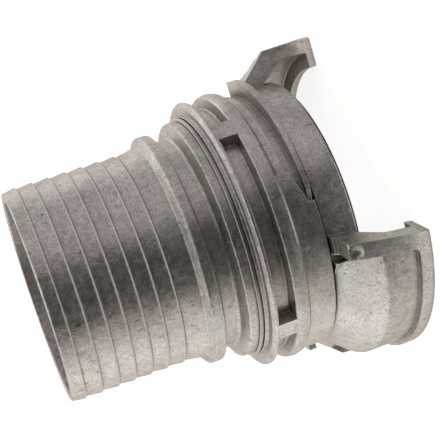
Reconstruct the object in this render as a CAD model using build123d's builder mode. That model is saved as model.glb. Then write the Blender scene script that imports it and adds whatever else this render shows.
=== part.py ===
from build123d import *
import os
from math import cos, hypot, radians, sin

# Half coupling with two claws and a locking ring for a 4 inch fire hose, in millimetres.
# It stands on its two claw tips: Z = 0 is the tip plane, +Z runs along the waterway towards the
# hose, and the claws are centred on the X axis. Depths are measured down from the hose mouth.

# Casting
length = 163.0
bore_r, mouth_r = 46.5, 50.3
barb_first, barb_pitch, barb_count = 6.3, 8.0, 7
barb_r, barb_root_r, barb_drop = 51.4, 50.5, 0.7
land_r, neck_r = 52.3, 51.7
stop_collar_r, groove_collar_r = 56.3, 58.4
snap_groove_top, snap_groove_bottom, snap_groove_r = 86.9, 88.8, 56.6
seat_r = 58.7
shoulder, front_r, face = 123.0, 62.9, 137.4

# Claws: the outer skin is a cylinder set off the waterway axis, and a cone at the root
claw_half_angle, thin_side_angle, claw_lean = 40.6, 40.0, 9.0
skin_r, skin_shift, skin_angle = 76.2, 4.94, 22.0
root_r, root_z, cone_r, cone_z = 66.5, 40.0, 83.0, 21.1
bend_fillet, tip_fillet = 2.2, 1.6
arm_in_r, lip_r, lip_t = 72.3, 63.7, 4.0
arm_bottom_z, arm_top_z = 17.4, 30.7
hook_root_r, claw_join_r, claw_sweep = 71.2, 61.6, 50.0
panel_depth, panel_end, panel_corner, panel_in_r = 2.6, 6.6, 2.8, 55.0
wide_rim, thin_rim, rim_top, rim_end_r, rim_fillet = 7.5, 2.7, 38.3, 68.4, 1.6
notch_z, notch_angle, notch_arc = 34.3, 35.2, 3.8
dimple_r, dimple_center_r, dimple_angle, dimple_z = 4.2, 82.4, 41.6, 35.6

# Locking ring
running_gap = 0.07
ring_back, ring_front = 89.2, 121.8
overlap_r, overlap_angle = 60.7, 61.4  # where the bands and ramps start, inside the barrel and the band
flange_r, rib_r, channel_r = 66.2, 66.4, 60.0
barrel_r, wide_r, undercut_r = 62.3, 64.7, 61.1
band_top, barrel_top, barrel_edge = 109.3, 110.6, 114.9
ramp_r, ramp_shift, ramp_tilt = 65.2, 3.6, 1.2
ramp_start, ramp_bevel, ramp_stop, ramp_peak = 66.0, 5.5, 145.0, 155.0
ramp_top, ramp_mid = 116.5, 119.0
band_start, band_end, runout_end, runout_slope = -20.0, 61.5, 75.0, 15.5
lug_count, lug_angle, lug_width, lug_height, lug_span = 4, 11.5, 9.8, 6.4, 9.6
lug_depth, lug_center_r = 97.9, 62.5

# Snap ring and face seal
snap_r, snap_gap_angle, snap_split_angle = 59.7, 12.0, 240.0
snap_play, snap_chamfer = 0.1, 0.3
seal_in_r, seal_out_r, seal_depth, seal_proud, seal_play = 49.8, 60.8, 6.5, 1.5, 0.1
inner_land_drop = 1.2

far = 120.0  # reach of the cutting shapes, past every surface

os.makedirs("parts", exist_ok=True)


def polar(radius, angle):
    """Point in the XY plane at a radius and an angle in degrees."""
    return (radius * cos(radians(angle)), radius * sin(radians(angle)))


def section_plane(angle):
    """Plane that holds the Z axis: its x is the radius towards this angle and its y is Z."""
    return Plane((0, 0, 0), x_dir=(*polar(1, angle), 0), z_dir=(*polar(1, angle - 90), 0))


def side_plane(half_angle, side, lean, inset=0.0):
    """Side of a claw, facing outward, which leans so that the claw widens above its tip."""
    out_x, out_y = polar(1, side * (half_angle + 90))
    normal = (out_x * cos(radians(lean)), out_y * cos(radians(lean)), -sin(radians(lean)))
    return Plane((-out_x * inset, -out_y * inset, 0), z_dir=normal)


def outline(corners):
    """Split (radius, depth, corner radius) rows into points and corner radii."""
    return [(r, length - depth) for r, depth, _ in corners], [c for _, _, c in corners]


# Outline of the turned casting, from the mouth down to the coupling face and back up the bore
barbs = []
for i in range(barb_count):
    crest = barb_first + i * barb_pitch
    barbs += [(barb_r, crest, 0.15), (barb_root_r, crest + barb_drop, 0.3)]
casting_points, casting_fillets = outline([
    (bore_r, 0, 0.6), (mouth_r, 0, 0.8), *barbs,
    (land_r, 64.7, 1.0), (stop_collar_r, 67.2, 1.1), (stop_collar_r, 72.0, 0.7),
    (neck_r, 73.2, 0.5), (neck_r, 80.3, 2.0), (groove_collar_r, 82.8, 0.8),
    (groove_collar_r, snap_groove_top, 0), (snap_groove_r, snap_groove_top, 0),
    (snap_groove_r, snap_groove_bottom, 0), (seat_r, snap_groove_bottom, 0),
    (seat_r, shoulder, 0.3), (front_r, shoulder, 0.4), (front_r, face, 0.7),
    (seal_out_r + seal_play, face, 0.2), (seal_out_r + seal_play, face - seal_depth, 0.5),
    (seal_in_r - seal_play, face - seal_depth, 0.5),
    (seal_in_r - seal_play, face - inner_land_drop, 0.2), (bore_r, face - inner_land_drop, 0.8),
])


def claw_form(inset):
    """Solid inside the outer skin of the claws, set in by a wall: a cone at the root, then a cylinder."""
    cone_rise, cone_run = root_z - cone_z, cone_r - root_r
    drop = inset * hypot(cone_run, cone_rise) / cone_run
    shrink = inset * hypot(cone_run, cone_rise) / cone_rise
    with BuildPart() as form:
        with BuildSketch(Plane.XZ):
            with BuildLine():
                Polyline((0, 0), (cone_r, 0), (cone_r, cone_z - drop), (root_r - shrink, root_z),
                         (0, root_z), close=True)
            make_face()
        revolve(axis=Axis.Z)
        with BuildSketch():
            with Locations(polar(skin_shift, skin_angle)):
                Circle(skin_r - inset)
        extrude(amount=root_z, mode=Mode.INTERSECT)
        skin = form.faces().filter_by(GeomType.CYLINDER).sort_by(Axis.Z)[0]
        fillet(skin.edges().group_by(Axis.Z)[-1], bend_fillet)
        fillet(form.faces().sort_by(Axis.Z)[0].edges(), tip_fillet)
    return form.part


# Claw section without its outer skin: the root, the inside of the arm and the hooked lip at the tip
hook_corners = [
    (claw_join_r, root_z, 0), (far, root_z, 0), (far, 0, 0), (lip_r, 0, 0.7), (lip_r, lip_t, 0.5),
    (hook_root_r, lip_t, 0.8), (arm_in_r, arm_bottom_z, 3.0), (front_r, arm_top_z, 1.5),
    (claw_join_r, arm_top_z, 0),
]

with BuildPart() as root_cut:
    # outside the sloping root, but short of the wide rim, which keeps its full height
    with BuildSketch(section_plane(-claw_sweep)):
        with BuildLine():
            Polyline((root_r, root_z), (cone_r, cone_z), (far, cone_z), (far, root_z), close=True)
        make_face()
    revolve(axis=Axis.Z, revolution_arc=2 * claw_sweep)
    split(bisect_by=side_plane(claw_half_angle, 1, claw_lean, wide_rim), keep=Keep.BOTTOM)

with BuildPart() as panel:
    # recess in the outer face, drawn out along its rims, with rounded corners at the tip end
    with BuildSketch(Plane.XY.offset(panel_end)):
        with Locations((far / 2 + panel_in_r, 0)):
            Rectangle(far, far)
    extrude(amount=root_z)
    split(bisect_by=side_plane(claw_half_angle, 1, claw_lean, wide_rim), keep=Keep.BOTTOM)
    split(bisect_by=side_plane(thin_side_angle, -1, claw_lean, thin_rim), keep=Keep.BOTTOM)
    fillet(panel.faces().sort_by(Axis.Z)[0].edges().filter_by(Axis.Y, reverse=True), panel_corner)
    add(claw_form(panel_depth), mode=Mode.SUBTRACT)

with BuildPart() as claw:
    with BuildSketch():
        with Locations(polar(skin_shift, skin_angle)):
            Circle(skin_r)
    extrude(amount=root_z)
    fillet(claw.faces().sort_by(Axis.Z)[0].edges(), tip_fillet)
    add(root_cut.part, mode=Mode.SUBTRACT)
    fillet(claw.faces().filter_by(GeomType.CONE)[0].edges().group_by(Axis.Z)[0], bend_fillet)
    with BuildSketch(section_plane(-claw_sweep)):
        with BuildLine():
            FilletPolyline(*[(r, z) for r, z, _ in hook_corners],
                           radius=[c for _, _, c in hook_corners], close=True)
        make_face()
    revolve(axis=Axis.Z, revolution_arc=2 * claw_sweep, mode=Mode.INTERSECT)
    add(panel.part, mode=Mode.SUBTRACT)
    # the wide rim ends just short of the locking ring
    with BuildSketch(section_plane(-claw_sweep)):
        with Locations((rim_end_r + far / 2, rim_top + far / 2)):
            Rectangle(far, far)
    revolve(axis=Axis.Z, revolution_arc=2 * claw_sweep, mode=Mode.SUBTRACT)
    # notch beside the end of the wide rim, down to the level of the front collar
    with BuildSketch(section_plane(notch_angle)):
        with Locations((front_r + far / 2, notch_z + far / 2)):
            Rectangle(far, far)
    revolve(axis=Axis.Z, revolution_arc=notch_arc, mode=Mode.SUBTRACT)
    split(bisect_by=side_plane(claw_half_angle, 1, claw_lean), keep=Keep.BOTTOM)
    split(bisect_by=side_plane(thin_side_angle, -1, claw_lean), keep=Keep.BOTTOM)
    rim_end = claw.faces().filter_by(Axis.Z).group_by(Axis.Z)[-2].edges()
    fillet(rim_end.filter_by(GeomType.CIRCLE).sort_by(SortBy.RADIUS)[-1], rim_fillet)
    # shallow dimple near the end of the wide rim
    with Locations((*polar(dimple_center_r, dimple_angle), dimple_z)):
        Sphere(dimple_r, mode=Mode.SUBTRACT)

with BuildPart() as coupling_body:
    with BuildSketch(Plane.XZ):
        with BuildLine():
            FilletPolyline(*casting_points, radius=casting_fillets, close=True)
        make_face()
    revolve(axis=Axis.Z)
    with PolarLocations(0, 2):
        add(claw.part)
coupling_body.part.label = "coupling_body"
export_step(coupling_body.part, "parts/coupling_body.step")

# Locking ring: two rounded flanges with a spanner channel between them, then the barrel
ring_z = length - ring_front
ring_bore_r = seat_r + running_gap
ring_points, ring_fillets = outline([
    (ring_bore_r, ring_back, 0.4), (60.0, ring_back, 0.2), (60.4, 90.9, 0.4), (63.8, 90.9, 0.8),
    (flange_r, 92.1, 0.9), (flange_r - 0.4, 93.6, 0.8), (channel_r, 94.6, 0.8),
    (channel_r, 101.3, 0.8), (rib_r - 0.6, 102.2, 1.2), (rib_r, 105.4, 3.0),
    (rib_r - 0.7, 108.9, 1.5), (barrel_r, barrel_top, 0.8), (barrel_r, barrel_edge, 0.3),
    (undercut_r, barrel_edge, 0.4), (undercut_r, ring_front, 0.2), (ring_bore_r, ring_front, 0.4),
])

with BuildPart() as wide_band:
    # full-height band over the sector between the two ramps
    with BuildSketch(Plane.XY.offset(ring_z)):
        Circle(wide_r)
        Circle(overlap_r, mode=Mode.SUBTRACT)
        with BuildLine():
            Polyline((0, 0), polar(far, band_start), polar(far, (band_start + band_end) / 2),
                     polar(far, band_end), close=True)
        make_face(mode=Mode.INTERSECT)
    extrude(amount=ring_front - band_top)

with BuildPart() as runout:
    # the undercut beside the ramp runs out into the band on a slant
    with BuildSketch(Plane.XY.offset(ring_z)):
        Circle(wide_r)
        Circle(overlap_r, mode=Mode.SUBTRACT)
        with BuildLine():
            Polyline((0, 0), polar(far, overlap_angle), polar(far, runout_end), close=True)
        make_face(mode=Mode.INTERSECT)
    extrude(amount=ring_front - band_top)
    slant_x, slant_y = polar(sin(radians(runout_slope)), runout_end + 90)
    split(bisect_by=Plane((*polar(wide_r, runout_end), length - barrel_edge),
                          z_dir=(slant_x, slant_y, -cos(radians(runout_slope)))), keep=Keep.BOTTOM)

with BuildPart() as ramp:
    # eccentric ridge with a bevelled leading end, highest at its stop end
    with BuildSketch(Plane.XY.offset(ring_z)):
        with Locations(polar(ramp_shift, ramp_peak)):
            Circle(ramp_r)
        Circle(overlap_r, mode=Mode.SUBTRACT)
        with BuildLine():
            Polyline((0, 0), polar(undercut_r, ramp_start - ramp_bevel), polar(wide_r, ramp_start),
                     polar(far, ramp_start), polar(far, (ramp_start + ramp_stop) / 2),
                     polar(far, ramp_stop), close=True)
        make_face(mode=Mode.INTERSECT)
    extrude(amount=ring_front - ramp_top)
    # the working face climbs along the ramp
    tilt_x, tilt_y = polar(sin(radians(ramp_tilt)), (ramp_start + ramp_stop) / 2 - 90)
    split(bisect_by=Plane((0, 0, length - ramp_mid), z_dir=(tilt_x, tilt_y, cos(radians(ramp_tilt)))),
          keep=Keep.BOTTOM)

with BuildPart() as locking_ring:
    with BuildSketch(Plane.XZ):
        with BuildLine():
            FilletPolyline(*ring_points, radius=ring_fillets, close=True)
        make_face()
    revolve(axis=Axis.Z)
    with PolarLocations(0, 2):
        add(wide_band.part)
        add(runout.part)
        add(ramp.part)
    # spanner lugs bridge the channel
    with Locations(Plane.XY.offset(length - lug_depth)):
        with PolarLocations(lug_center_r, lug_count, start_angle=lug_angle):
            Box(lug_height, lug_width, lug_span)
locking_ring.part.label = "locking_ring"
export_step(locking_ring.part, "parts/locking_ring.step")

with BuildPart() as snap_ring:
    with BuildSketch(Plane.XY.offset(length - snap_groove_bottom + snap_play)):
        Circle(snap_r)
        Circle(snap_groove_r + snap_play, mode=Mode.SUBTRACT)
        with BuildLine():
            Polyline((0, 0), polar(far, snap_split_angle - snap_gap_angle / 2),
                     polar(far, snap_split_angle + snap_gap_angle / 2), close=True)
        make_face(mode=Mode.SUBTRACT)
    extrude(amount=snap_groove_bottom - snap_groove_top - 2 * snap_play)
    chamfer(snap_ring.edges().filter_by(GeomType.CIRCLE).filter_by(
        lambda e: abs(e.radius - snap_r) < 0.01), snap_chamfer)
snap_ring.part.label = "snap_ring"
export_step(snap_ring.part, "parts/snap_ring.step")

seal_face = face + seal_proud
seal_points, seal_fillets = outline([
    (seal_in_r, face - seal_depth + seal_play, 0.5), (seal_in_r, face - inner_land_drop, 0.6),
    (seal_in_r + 1.6, seal_face, 1.0), (seal_out_r - 0.2, seal_face, 0.6),
    (seal_out_r, face - seal_depth + seal_play, 0.5),
])
with BuildPart() as face_seal:
    with BuildSketch(Plane.XZ):
        with BuildLine():
            FilletPolyline(*seal_points, radius=seal_fillets, close=True)
        make_face()
    revolve(axis=Axis.Z)
face_seal.part.label = "face_seal"
export_step(face_seal.part, "parts/face_seal.step")
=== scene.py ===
from math import cos, radians, sin

import bpy
from mathutils import Matrix, Vector


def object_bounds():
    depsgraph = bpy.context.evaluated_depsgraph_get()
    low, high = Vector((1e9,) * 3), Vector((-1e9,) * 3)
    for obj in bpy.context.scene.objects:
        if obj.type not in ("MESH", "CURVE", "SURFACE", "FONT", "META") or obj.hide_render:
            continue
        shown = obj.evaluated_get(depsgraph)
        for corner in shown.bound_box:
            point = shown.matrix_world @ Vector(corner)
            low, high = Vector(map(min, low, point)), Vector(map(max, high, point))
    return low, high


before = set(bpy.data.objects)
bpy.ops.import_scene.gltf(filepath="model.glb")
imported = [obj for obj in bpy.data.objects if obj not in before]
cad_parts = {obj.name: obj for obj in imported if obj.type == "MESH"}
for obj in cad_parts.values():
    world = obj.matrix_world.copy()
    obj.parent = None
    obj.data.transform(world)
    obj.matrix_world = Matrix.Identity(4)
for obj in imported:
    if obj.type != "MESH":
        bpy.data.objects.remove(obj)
CAD_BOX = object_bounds()

bl_info = {
    "name": "Fire Hose Coupling",
    "version": (1, 0, 0),
    "blender": (4, 5, 0),
    "location": "View3D > Sidebar > Coupling",
    "description": "Finishes and studio for a quarter turn fire hose coupling",
    "category": "Object",
}

MM = 0.001
CREST_R = 51.4 * MM  # radius of the serration crests
SHANK_Z = 105 * MM  # the serrations lie above this height
MIDDLE = Vector((0, 0, (CAD_BOX[0].z + CAD_BOX[1].z) / 2))

# Numbers of the factor, the two colour inputs and the colour result of a Mix node
MIX_FACTOR, MIX_A, MIX_B, MIX_RESULT = 0, 6, 7, 2
# Values between which nearly all of a noise texture lies
NOISE = {"From Min": 0.3, "From Max": 0.7}

# Studio
FLOOR_SIZE = 8.0
FLAG_LIFT = 0.5 * MM  # height of the flags' sheets over the floor
FLAG_STEPS = 24  # straight pieces in each flag's curve
TALL_FLAG = 2.4  # height of the dark flags' walls, in studio reaches
CLAW_FLAG_START = 20 * MM  # start of the sheet that lies nearest to the coupling
CAMERA_PLACE = Vector((0.2490, 0.4402, 0.18885))
CAMERA_RIGHT = Vector((0.38866, 0.02759, -0.92097))
CAMERA_UP = Vector((-0.78024, 0.54149, -0.31305))
CAMERA_CLIP = 10 * MM


def linear(code):
    """Turns an sRGB hex colour into the linear colour that shaders and lamps take."""
    channels = [int(code[i:i + 2], 16) / 255 for i in (1, 3, 5)]
    return tuple(c / 12.92 if c <= 0.04045 else ((c + 0.055) / 1.055) ** 2.4 for c in channels)


def add_node(tree, kind, settings=None, links=None):
    """Adds a shader node, sets its named sockets and properties, and links its sockets to sources."""
    node = tree.nodes.new("ShaderNode" + kind)
    for name, value in (settings or {}).items():
        if isinstance(name, int) or name in node.inputs:
            node.inputs[name].default_value = value
        else:
            setattr(node, name, value)
    for name, source in (links or {}).items():
        if isinstance(source, bpy.types.Node):
            source = source.outputs[0]
        tree.links.new(source, node.inputs[name])
    return node


def new_material(name):
    """Starts a node material with nothing in it, and reads the piece's own coordinates."""
    material = bpy.data.materials.new(name)
    material.use_nodes = True
    tree = material.node_tree
    tree.nodes.clear()
    return material, tree, add_node(tree, "TexCoord").outputs["Object"]


def dress(node, material):
    """Gives a CAD node its finish."""
    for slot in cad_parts[node].material_slots:
        slot.material = material


def towards(azimuth, elevation):
    """Direction from the coupling, in degrees: azimuth from +X towards +Y, elevation above the floor."""
    turn, rise = radians(azimuth), radians(elevation)
    return Vector((cos(rise) * cos(turn), cos(rise) * sin(turn), sin(rise)))


def crest_highlight(tree, place):
    """Mask of the serration crests on the hose shank, where a highlight is painted; it stands partly for
    the rubbing of hoses and partly for the light the crests catch.
    """
    flat = add_node(tree, "VectorMath", {"operation": "MULTIPLY", 1: (1, 1, 0)}, {0: place})
    radius = add_node(tree, "VectorMath", {"operation": "LENGTH"}, {0: flat})
    crest = add_node(tree, "MapRange", {"From Min": CREST_R - 0.14 * MM, "From Max": CREST_R - 0.07 * MM,
                                        "To Min": 0.0, "To Max": 0.85}, {"Value": radius.outputs["Value"]})
    height = add_node(tree, "SeparateXYZ", links={0: place}).outputs["Z"]
    above = add_node(tree, "Math", {"operation": "GREATER_THAN", 1: SHANK_Z}, {0: height})
    return add_node(tree, "Math", {"operation": "MULTIPLY"}, {0: crest, 1: above})


def cast_aluminium(name, settings, stains, extra_highlight=None):
    """Bead-blasted cast aluminium: grey, faintly warm and satin, with cloudy patches, a sparkling blasted
    grain, small dark pits, painted brown-grey shade in the corners, and a painted highlight along the
    edges, partly standing for wear."""
    material, tree, place = new_material(name)
    # faint drifts of hue about 20 mm across, where the surface has oxidised a little more or less
    drift = add_node(tree, "TexNoise", {"Scale": 1 / (20 * MM), "Detail": 2.0}, {"Vector": place})
    drift = add_node(tree, "MapRange", {"From Min": 0.35, "From Max": 0.65}, {"Value": drift})
    hue = add_node(tree, "Mix", {"data_type": "RGBA", MIX_A: (*linear("#FDFFFB"), 1),
                                 MIX_B: (*linear("#FFFBFD"), 1)}, {MIX_FACTOR: drift})
    colour = add_node(tree, "Mix", {"data_type": "RGBA", "blend_type": "MULTIPLY", MIX_FACTOR: 1.0,
                                    MIX_A: (*settings.casting_colour, 1)},
                      {MIX_B: hue.outputs[MIX_RESULT]})
    # cloudy patches about 14 mm across, left by the melt and by handling
    cloud = add_node(tree, "TexNoise", {"Scale": 1 / (14 * MM), "Detail": 4.0, "Roughness": 0.6},
                     {"Vector": place})
    cloud_tone = add_node(tree, "MapRange", {**NOISE, "To Min": 0.84, "To Max": 1.1}, {"Value": cloud})
    # mottling about 3 mm across
    mottle = add_node(tree, "TexNoise", {"Scale": 1 / (3 * MM), "Detail": 3.0, "Roughness": 0.6},
                      {"Vector": place})
    mottle_tone = add_node(tree, "MapRange", {**NOISE, "To Min": 0.84, "To Max": 1.12}, {"Value": mottle})
    # blasted grain: really about 0.15 mm, drawn at 0.9 mm so that it shows
    grain = add_node(tree, "TexNoise", {"Scale": 1 / (0.9 * MM), "Detail": 2.0, "Roughness": 0.7},
                     {"Vector": place})
    grain_tone = add_node(tree, "MapRange", {**NOISE, "To Min": 0.72, "To Max": 1.24}, {"Value": grain})
    tone = add_node(tree, "Math", {"operation": "MULTIPLY"}, {0: cloud_tone, 1: mottle_tone})
    tone = add_node(tree, "Math", {"operation": "MULTIPLY"}, {0: tone, 1: grain_tone})
    # stained spots, 2 to 5 mm across
    spot = add_node(tree, "TexNoise", {"Scale": 1 / (5 * MM), "Detail": 5.0, "Roughness": 0.7},
                    {"Vector": place})
    spot_mask = add_node(tree, "MapRange", {"From Min": 0.56, "From Max": 0.72, "To Min": 0.0,
                                            "To Max": stains}, {"Value": spot})
    # casting pits, about 1 mm across
    pit = add_node(tree, "TexNoise", {"Scale": 1 / (1.6 * MM), "Detail": 1.0}, {"Vector": place})
    pit_mask = add_node(tree, "MapRange", {"From Min": 0.68, "From Max": 0.8, "To Min": 0.0, "To Max": 0.6},
                        {"Value": pit})
    # painted shade: brown-grey darkening in corners, up to 5 mm from them, where less light reaches
    corner = add_node(tree, "AmbientOcclusion", {"Distance": 5 * MM, "samples": 6})
    corner_shade = add_node(tree, "MapRange", {"From Min": 0.35, "From Max": 0.95, "To Min": 0.45, "To Max": 0.0},
                    {"Value": corner.outputs["AO"]})
    # stains, pits and the painted corner shade, mixed into the colour together
    stains_and_shade = add_node(tree, "Math", {"operation": "MAXIMUM"}, {0: spot_mask, 1: pit_mask})
    stains_and_shade = add_node(tree, "Math", {"operation": "MAXIMUM"}, {0: stains_and_shade, 1: corner_shade})
    clean = add_node(tree, "VectorMath", {"operation": "SCALE"},
                     {0: colour.outputs[MIX_RESULT], "Scale": tone})
    stained_and_shaded = add_node(tree, "Mix", {"data_type": "RGBA", MIX_B: (*linear("#4E4842"), 1)},
                       {MIX_FACTOR: stains_and_shade, MIX_A: clean})
    # edges about 0.5 mm wide, rounded, with a painted highlight: lighter and less metallic, so that they
    # scatter light from all round; it stands partly for rubbed wear and partly for the light the rounded
    # edges catch
    bevel = add_node(tree, "Bevel", {"Radius": 0.5 * MM, "samples": 6})
    shape = add_node(tree, "NewGeometry")
    facing = add_node(tree, "VectorMath", {"operation": "DOT_PRODUCT"},
                      {0: bevel, 1: shape.outputs["Normal"]})
    wear_and_highlight = add_node(tree, "MapRange", {"From Min": 0.98, "From Max": 0.8, "To Min": 0.0, "To Max": 0.9},
                    {"Value": facing.outputs["Value"]})
    # a mask from the caller, such as the shank's serration crests, gets the painted highlight too
    if extra_highlight:
        wear_and_highlight = add_node(tree, "Math", {"operation": "MAXIMUM"}, {0: wear_and_highlight, 1: extra_highlight(tree, place)})
    # painted highlight: the edge mask lightens the colour towards a pale grey
    bright = add_node(tree, "Mix", {"data_type": "RGBA", MIX_B: (*linear("#EDEAE4"), 1)},
                      {MIX_FACTOR: wear_and_highlight, MIX_A: stained_and_shaded.outputs[MIX_RESULT]})
    metal = add_node(tree, "Math", {"operation": "SUBTRACT", 0: 1.0}, {1: wear_and_highlight})
    matt = add_node(tree, "MapRange", {**NOISE, "To Min": settings.casting_roughness - 0.06,
                                       "To Max": settings.casting_roughness + 0.08}, {"Value": mottle})
    # relief of the grain and the mottling, with the pits sunk into it
    height = add_node(tree, "Math", {"operation": "MULTIPLY_ADD", 1: 0.6}, {0: grain, 2: mottle})
    height = add_node(tree, "Math", {"operation": "SUBTRACT"}, {0: height, 1: pit_mask})
    bump = add_node(tree, "Bump", {"Strength": 0.9, "Distance": 0.16 * MM},
                    {"Height": height, "Normal": bevel})
    shader = add_node(tree, "BsdfPrincipled", {"Specular Tint": (*linear("#D6D2CC"), 1)},
                      {"Base Color": bright.outputs[MIX_RESULT], "Metallic": metal, "Roughness": matt,
                       "Normal": bump})
    add_node(tree, "OutputMaterial", links={"Surface": shader})
    return material


def spring_steel(name):
    """Oiled spring steel wire, rolled flat: darker and smoother than the castings, with a fine lengthwise
    grain that catches thin highlights."""
    material, tree, place = new_material(name)
    stretched = add_node(tree, "Mapping", {"Scale": (1, 1, 8)}, {"Vector": place})
    grain = add_node(tree, "TexNoise", {"Scale": 1 / (2 * MM), "Detail": 2.0}, {"Vector": stretched})
    tone = add_node(tree, "MapRange", {**NOISE, "To Min": 0.8, "To Max": 1.1}, {"Value": grain})
    colour = add_node(tree, "VectorMath", {"operation": "SCALE", 0: linear("#B7B4AF")}, {"Scale": tone})
    matt = add_node(tree, "MapRange", {**NOISE, "To Min": 0.28, "To Max": 0.4}, {"Value": grain})
    bump = add_node(tree, "Bump", {"Strength": 0.3, "Distance": 0.03 * MM}, {"Height": grain})
    shader = add_node(tree, "BsdfPrincipled", {"Metallic": 1.0},
                      {"Base Color": colour, "Roughness": matt, "Normal": bump})
    add_node(tree, "OutputMaterial", links={"Surface": shader})
    return material


def moulded_rubber(name):
    """Moulded nitrile rubber: near black and matt, with a faint bloom and a soft moulded skin."""
    material, tree, place = new_material(name)
    bloom = add_node(tree, "TexNoise", {"Scale": 1 / (6 * MM), "Detail": 4.0}, {"Vector": place})
    colour = add_node(tree, "Mix", {"data_type": "RGBA", MIX_A: (*linear("#141414"), 1),
                                    MIX_B: (*linear("#2A2927"), 1)}, {MIX_FACTOR: bloom})
    skin = add_node(tree, "TexNoise", {"Scale": 1 / (0.9 * MM), "Detail": 2.0}, {"Vector": place})
    matt = add_node(tree, "MapRange", {"To Min": 0.5, "To Max": 0.7}, {"Value": bloom})
    bump = add_node(tree, "Bump", {"Strength": 0.3, "Distance": 0.05 * MM}, {"Height": skin})
    shader = add_node(tree, "BsdfPrincipled", {"IOR": 1.52},
                      {"Base Color": colour.outputs[MIX_RESULT], "Roughness": matt, "Normal": bump})
    add_node(tree, "OutputMaterial", links={"Surface": shader})
    return material


class CouplingSettings(bpy.types.PropertyGroup):
    """Colours and studio sizes that can be changed before the operators run."""
    casting_colour: bpy.props.FloatVectorProperty(
        name="Casting colour", description="Colour of the blasted aluminium castings", subtype="COLOR",
        size=3, min=0, max=1, default=linear("#D7D4D1"))
    casting_roughness: bpy.props.FloatProperty(
        name="Casting roughness", description="How matt the blasting left the castings", subtype="FACTOR",
        min=0.1, max=1, default=0.38)
    lens: bpy.props.FloatProperty(
        name="Lens", description="Focal length of the camera in millimetres", min=10, max=300, default=88.1)
    studio_reach: bpy.props.FloatProperty(
        name="Studio reach", description="Distance from the coupling to the lamps and flags", unit="LENGTH",
        min=0.3, max=5, default=1.2)
    flag_near: bpy.props.FloatProperty(
        name="Flag start", description="Distance from the waterway axis at which the floor flags begin",
        unit="LENGTH", min=0.08, max=1, default=0.1)


class COUPLING_OT_body(bpy.types.Operator):
    """Finishes the casting with the shank, the collars and the claws."""
    bl_idname = "coupling.body"
    bl_label = "Finish coupling body"

    def execute(self, context):
        settings = context.scene.coupling
        # the shank's serration crests get a painted highlight as well
        dress("coupling_body", cast_aluminium("bead-blasted cast aluminium", settings, 0.5, crest_highlight))
        return {"FINISHED"}


class COUPLING_OT_ring(bpy.types.Operator):
    """Finishes the locking ring, which is handled more and stained less."""
    bl_idname = "coupling.ring"
    bl_label = "Finish locking ring"

    def execute(self, context):
        settings = context.scene.coupling
        dress("locking_ring", cast_aluminium("bead-blasted cast aluminium, handled", settings, 0.3))
        return {"FINISHED"}


class COUPLING_OT_snap_ring(bpy.types.Operator):
    """Finishes the split snap ring that holds the locking ring."""
    bl_idname = "coupling.snap_ring"
    bl_label = "Finish snap ring"

    def execute(self, context):
        dress("snap_ring", spring_steel("rolled spring steel"))
        return {"FINISHED"}


class COUPLING_OT_seal(bpy.types.Operator):
    """Finishes the rubber face seal."""
    bl_idname = "coupling.seal"
    bl_label = "Finish face seal"

    def execute(self, context):
        dress("face_seal", moulded_rubber("moulded nitrile rubber"))
        return {"FINISHED"}


def add_lamp(name, azimuth, elevation, size, power, colour, reach):
    """Adds a square softbox that faces the coupling."""
    data = bpy.data.lights.new(name, "AREA")
    data.size = size
    data.energy = power
    data.color = linear(colour)
    lamp = bpy.data.objects.new(name, data)
    bpy.context.scene.collection.objects.link(lamp)
    direction = towards(azimuth, elevation)
    lamp.location = MIDDLE + direction * reach
    lamp.rotation_euler = (-direction).to_track_quat("-Z", "Y").to_euler()


def flag_material(name, colour):
    """Flat studio cloth, which only reflections see."""
    material, tree, _ = new_material(name)
    glow = add_node(tree, "Emission", {"Color": (*linear(colour), 1), "Strength": 1.0})
    add_node(tree, "OutputMaterial", links={"Surface": glow})
    return material


def add_flag(name, start, stop, near, far, height, colour):
    """Adds a cloth flag that gives the metal something darker to reflect, and casts no shadow: a sheet on
    the floor from near to far, and, where the flag has a height, part of a tall tube round its far edge."""
    rows = [(near, FLAG_LIFT), (far, FLAG_LIFT)]
    if height:
        rows.append((far, height))
    corners = []
    for step in range(FLAG_STEPS + 1):
        side = towards(start + (stop - start) * step / FLAG_STEPS, 0)
        corners += [side * distance + Vector((0, 0, level)) for distance, level in rows]
    faces = []
    for step in range(FLAG_STEPS):
        for first in range(step * len(rows), (step + 1) * len(rows) - 1):
            faces.append((first, first + 1, first + 1 + len(rows), first + len(rows)))
    mesh = bpy.data.meshes.new(name)
    mesh.from_pydata(corners, [], faces)
    flag = bpy.data.objects.new(name, mesh)
    bpy.context.scene.collection.objects.link(flag)
    mesh.materials.append(flag_material(name + " cloth", colour))
    flag.visible_camera = False
    flag.visible_diffuse = False
    flag.visible_shadow = False
    flag.visible_transmission = False


def seen_white(tree, plain, lit, direct):
    """Mixes a plain surface with what direct views see and with what reflections see."""
    path = add_node(tree, "LightPath")
    straight = add_node(tree, "Math", {"operation": "MAXIMUM"},
                        {0: path.outputs["Is Camera Ray"], 1: path.outputs["Is Transmission Ray"]})
    glossy = add_node(tree, "MixShader", links={0: path.outputs["Is Glossy Ray"], 1: plain, 2: lit})
    return add_node(tree, "MixShader", links={0: straight, 1: glossy, 2: direct})


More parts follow.
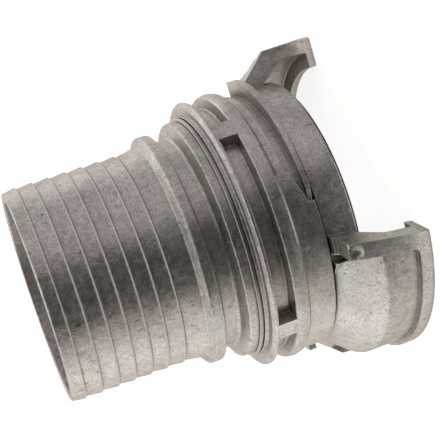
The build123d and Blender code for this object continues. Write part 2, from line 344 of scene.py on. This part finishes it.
class COUPLING_OT_stage(bpy.types.Operator):
    """Sets the white studio: floor, surround, softboxes, flags and camera."""
    bl_idname = "coupling.stage"
    bl_label = "Set studio"

    def execute(self, context):
        scene = context.scene
        settings = scene.coupling
        reach = settings.studio_reach

        world = bpy.data.worlds.new("white surround")
        scene.world = world
        world.use_nodes = True
        tree = world.node_tree
        tree.nodes.clear()
        fill = add_node(tree, "Background", {"Color": (1, 1, 1, 1), "Strength": 0.5})
        wall = add_node(tree, "Background", {"Color": (*linear("#FEFCFA"), 1), "Strength": 1.0})
        white = add_node(tree, "Background", {"Color": (1, 1, 1, 1), "Strength": 1.0})
        add_node(tree, "OutputWorld", links={"Surface": seen_white(tree, fill, wall, white)})

        bpy.ops.object.select_all(action="DESELECT")
        bpy.ops.mesh.primitive_plane_add(size=FLOOR_SIZE)
        floor = bpy.context.object
        floor.name = "floor"
        material, tree, _ = new_material("white studio floor")
        paint = add_node(tree, "BsdfDiffuse", {"Color": (*linear("#E8E8E8"), 1)})
        dim = add_node(tree, "Emission", {"Color": (*linear("#FFF8F0"), 1), "Strength": 0.55})
        glow = add_node(tree, "Emission", {"Color": (1, 1, 1, 1), "Strength": 0.8})
        dim_paint = add_node(tree, "AddShader", links={0: paint, 1: dim})
        white_paint = add_node(tree, "AddShader", links={0: paint, 1: glow})
        seen = seen_white(tree, paint, dim_paint, white_paint)
        add_node(tree, "OutputMaterial", links={"Surface": seen})
        floor.data.materials.append(material)

        # azimuth, elevation, size, power and colour of each softbox
        add_lamp("softbox left", 195, 20, 0.9, 0.6, "#FDFCFF", reach)
        add_lamp("softbox right", 300, 15, 0.9, 0.6, "#FFF1DF", reach)
        add_lamp("softbox top", 240, 75, 0.8, 0.5, "#FFF4E6", reach)
        # first and last azimuth, start and end of the sheet, height and colour of each flag
        near, tall = settings.flag_near, TALL_FLAG * reach
        add_flag("dark flag, claw side", 8, 34, 2 * near, reach, tall, "#4A4644")
        add_flag("dark flag", 34, 84, near, reach, tall, "#4A4644")
        add_flag("grey flag", 84, 168, near, reach, reach, "#B8B1B2")
        add_flag("near claw flag", 8, 34, near, 2 * near, 0, "#9E9997")
        add_flag("far claw flag", 80, 132, CLAW_FLAG_START, near, 0, "#7E7977")
        add_flag("beige flag", -12, 8, near, reach, reach, "#D6CFC6")

        data = bpy.data.cameras.new("camera")
        data.lens = settings.lens
        data.clip_start = CAMERA_CLIP
        camera = bpy.data.objects.new("camera", data)
        scene.collection.objects.link(camera)
        turn = Matrix((CAMERA_RIGHT, CAMERA_UP, CAMERA_RIGHT.cross(CAMERA_UP))).transposed().to_4x4()
        camera.matrix_world = Matrix.Translation(CAMERA_PLACE) @ turn
        scene.camera = camera
        scene.view_settings.view_transform = "Standard"
        return {"FINISHED"}


STEPS = (COUPLING_OT_body, COUPLING_OT_ring, COUPLING_OT_snap_ring, COUPLING_OT_seal, COUPLING_OT_stage)


class COUPLING_PT_panel(bpy.types.Panel):
    """Lists the settings and the operators."""
    bl_label = "Fire Hose Coupling"
    bl_idname = "COUPLING_PT_panel"
    bl_space_type = "VIEW_3D"
    bl_region_type = "UI"
    bl_category = "Coupling"

    def draw(self, context):
        settings = context.scene.coupling
        for name in ("casting_colour", "casting_roughness", "lens", "studio_reach", "flag_near"):
            self.layout.prop(settings, name)
        for step in STEPS:
            self.layout.operator(step.bl_idname)


CLASSES = (CouplingSettings, *STEPS, COUPLING_PT_panel)


def register():
    for cls in CLASSES:
        bpy.utils.register_class(cls)
    bpy.types.Scene.coupling = bpy.props.PointerProperty(type=CouplingSettings)


def unregister():
    del bpy.types.Scene.coupling
    for cls in reversed(CLASSES):
        bpy.utils.unregister_class(cls)


def main():
    register()
    for operator in (bpy.ops.coupling.body, bpy.ops.coupling.ring, bpy.ops.coupling.snap_ring,
                     bpy.ops.coupling.seal, bpy.ops.coupling.stage):
        operator()


if __name__ == "__main__":
    main()
